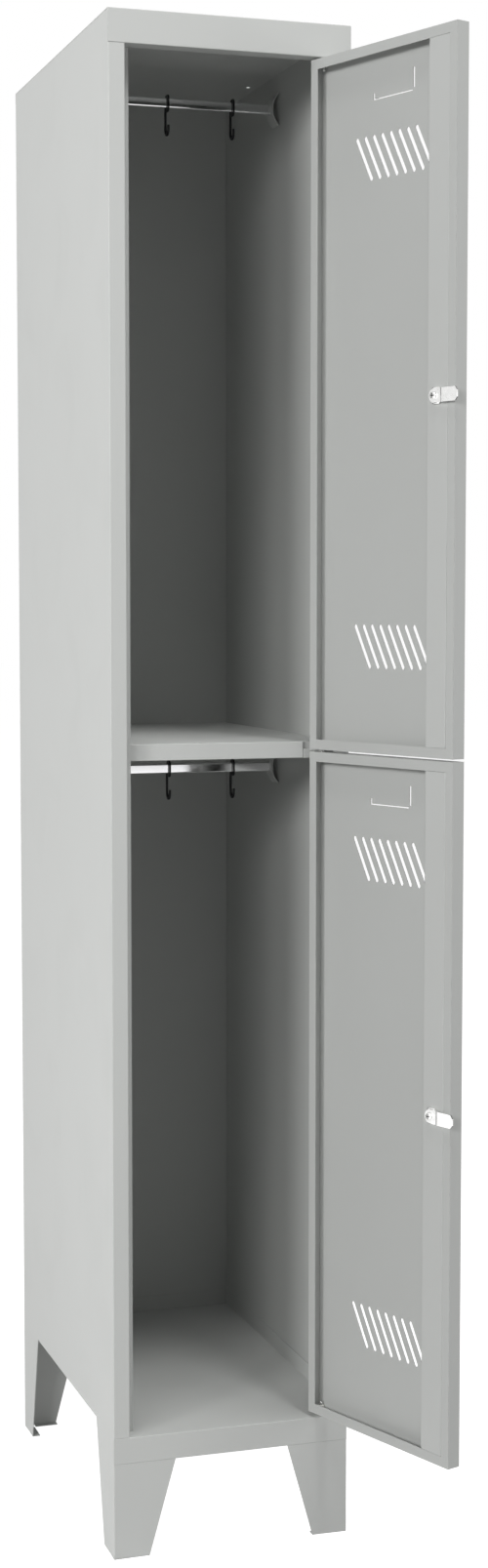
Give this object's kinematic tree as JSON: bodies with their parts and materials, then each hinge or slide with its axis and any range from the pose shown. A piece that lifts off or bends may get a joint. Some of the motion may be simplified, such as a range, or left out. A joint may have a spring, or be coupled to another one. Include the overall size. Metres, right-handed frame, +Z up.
{
  "type": "school locker",
  "caption": "Narrow two-compartment steel locker on tapered legs, with hinged vented doors, cam locks, hanging bars and sliding coat hooks.",
  "frame": {"origin": "on the floor, at the middle of the bounding box of the locker with both doors open as at rest", "axes": "+X to the right seen from the front, +Y from the front to the back, +Z up"},
  "size_m": [0.3574, 0.7432, 1.85],
  "materials": {
    "powder_coat": "satin light grey powder coat, fine texture",
    "zinc_plate": "bright zinc plate",
    "bar_chrome": "polished chrome plate",
    "bush_nylon": "natural nylon",
    "hook_plastic": "black moulded plastic"
  },
  "bodies": {
    "cabinet": {"left_side_panel": "powder_coat", "right_side_panel": "powder_coat", "back_panel": "powder_coat", "top_panel": "powder_coat", "floor_panel": "powder_coat", "middle_shelf": "powder_coat", "leg_front_left": "powder_coat", "leg_front_right": "powder_coat", "leg_rear_left": "powder_coat", "leg_rear_right": "powder_coat", "middle_hinge_bracket": "powder_coat", "top_hinge_pin": "zinc_plate", "middle_hinge_pin": "zinc_plate", "bottom_hinge_pin": "zinc_plate", "upper_hanging_bar": "bar_chrome", "lower_hanging_bar": "bar_chrome", "upper_bar_clip_left": "powder_coat", "upper_bar_clip_right": "powder_coat", "lower_bar_clip_left": "powder_coat", "lower_bar_clip_right": "powder_coat"},
    "upper_door": {"upper_door_panel": "powder_coat", "upper_door_stiffener": "powder_coat", "upper_door_bush_top": "bush_nylon", "upper_door_bush_bottom": "bush_nylon", "upper_lock_housing": "zinc_plate", "upper_lock_nut": "zinc_plate"},
    "upper_cam": {"upper_lock_plug": "zinc_plate", "upper_lock_cam": "zinc_plate", "upper_cam_screw": "zinc_plate"},
    "upper_left_hook": {"upper_hook_left": "hook_plastic"},
    "upper_middle_hook": {"upper_hook_middle": "hook_plastic"},
    "upper_right_hook": {"upper_hook_right": "hook_plastic"},
    "lower_door": {"lower_door_panel": "powder_coat", "lower_door_stiffener": "powder_coat", "lower_door_bush_top": "bush_nylon", "lower_door_bush_bottom": "bush_nylon", "lower_lock_housing": "zinc_plate", "lower_lock_nut": "zinc_plate"},
    "lower_cam": {"lower_lock_plug": "zinc_plate", "lower_lock_cam": "zinc_plate", "lower_cam_screw": "zinc_plate"},
    "lower_left_hook": {"lower_hook_left": "hook_plastic"},
    "lower_middle_hook": {"lower_hook_middle": "hook_plastic"},
    "lower_right_hook": {"lower_hook_right": "hook_plastic"}
  },
  "joints": [
    {"name": "upper_door_swing", "type": "hinge", "parent": "cabinet", "child": "upper_door", "pos_m": [0.08926, -0.12291, 1.39575], "axis": [0, 0, 1], "range_deg": [-110, 20]},
    {"name": "upper_lock_turn", "type": "hinge", "parent": "upper_door", "child": "upper_cam", "pos_m": [0.16848, -0.32448, 1.39575], "axis": [-0.9397, -0.342, 0], "range_deg": [0, 90]},
    {"name": "upper_left_hook_slide", "type": "slide", "parent": "cabinet", "child": "upper_left_hook", "axis": [1, 0, 0], "range_m": [-0.035, 0.035]},
    {"name": "upper_middle_hook_slide", "type": "slide", "parent": "cabinet", "child": "upper_middle_hook", "axis": [1, 0, 0], "range_m": [-0.035, 0.035]},
    {"name": "upper_right_hook_slide", "type": "slide", "parent": "cabinet", "child": "upper_right_hook", "axis": [1, 0, 0], "range_m": [-0.035, 0.035]},
    {"name": "lower_door_swing", "type": "hinge", "parent": "cabinet", "child": "lower_door", "pos_m": [0.08926, -0.12291, 0.568], "axis": [0, 0, 1], "range_deg": [-110, 20]},
    {"name": "lower_lock_turn", "type": "hinge", "parent": "lower_door", "child": "lower_cam", "pos_m": [0.16848, -0.32448, 0.568], "axis": [-0.9397, -0.342, 0], "range_deg": [0, 90]},
    {"name": "lower_left_hook_slide", "type": "slide", "parent": "cabinet", "child": "lower_left_hook", "axis": [1, 0, 0], "range_m": [-0.035, 0.035]},
    {"name": "lower_middle_hook_slide", "type": "slide", "parent": "cabinet", "child": "lower_middle_hook", "axis": [1, 0, 0], "range_m": [-0.035, 0.035]},
    {"name": "lower_right_hook_slide", "type": "slide", "parent": "cabinet", "child": "lower_right_hook", "axis": [1, 0, 0], "range_m": [-0.035, 0.035]}
  ]
}
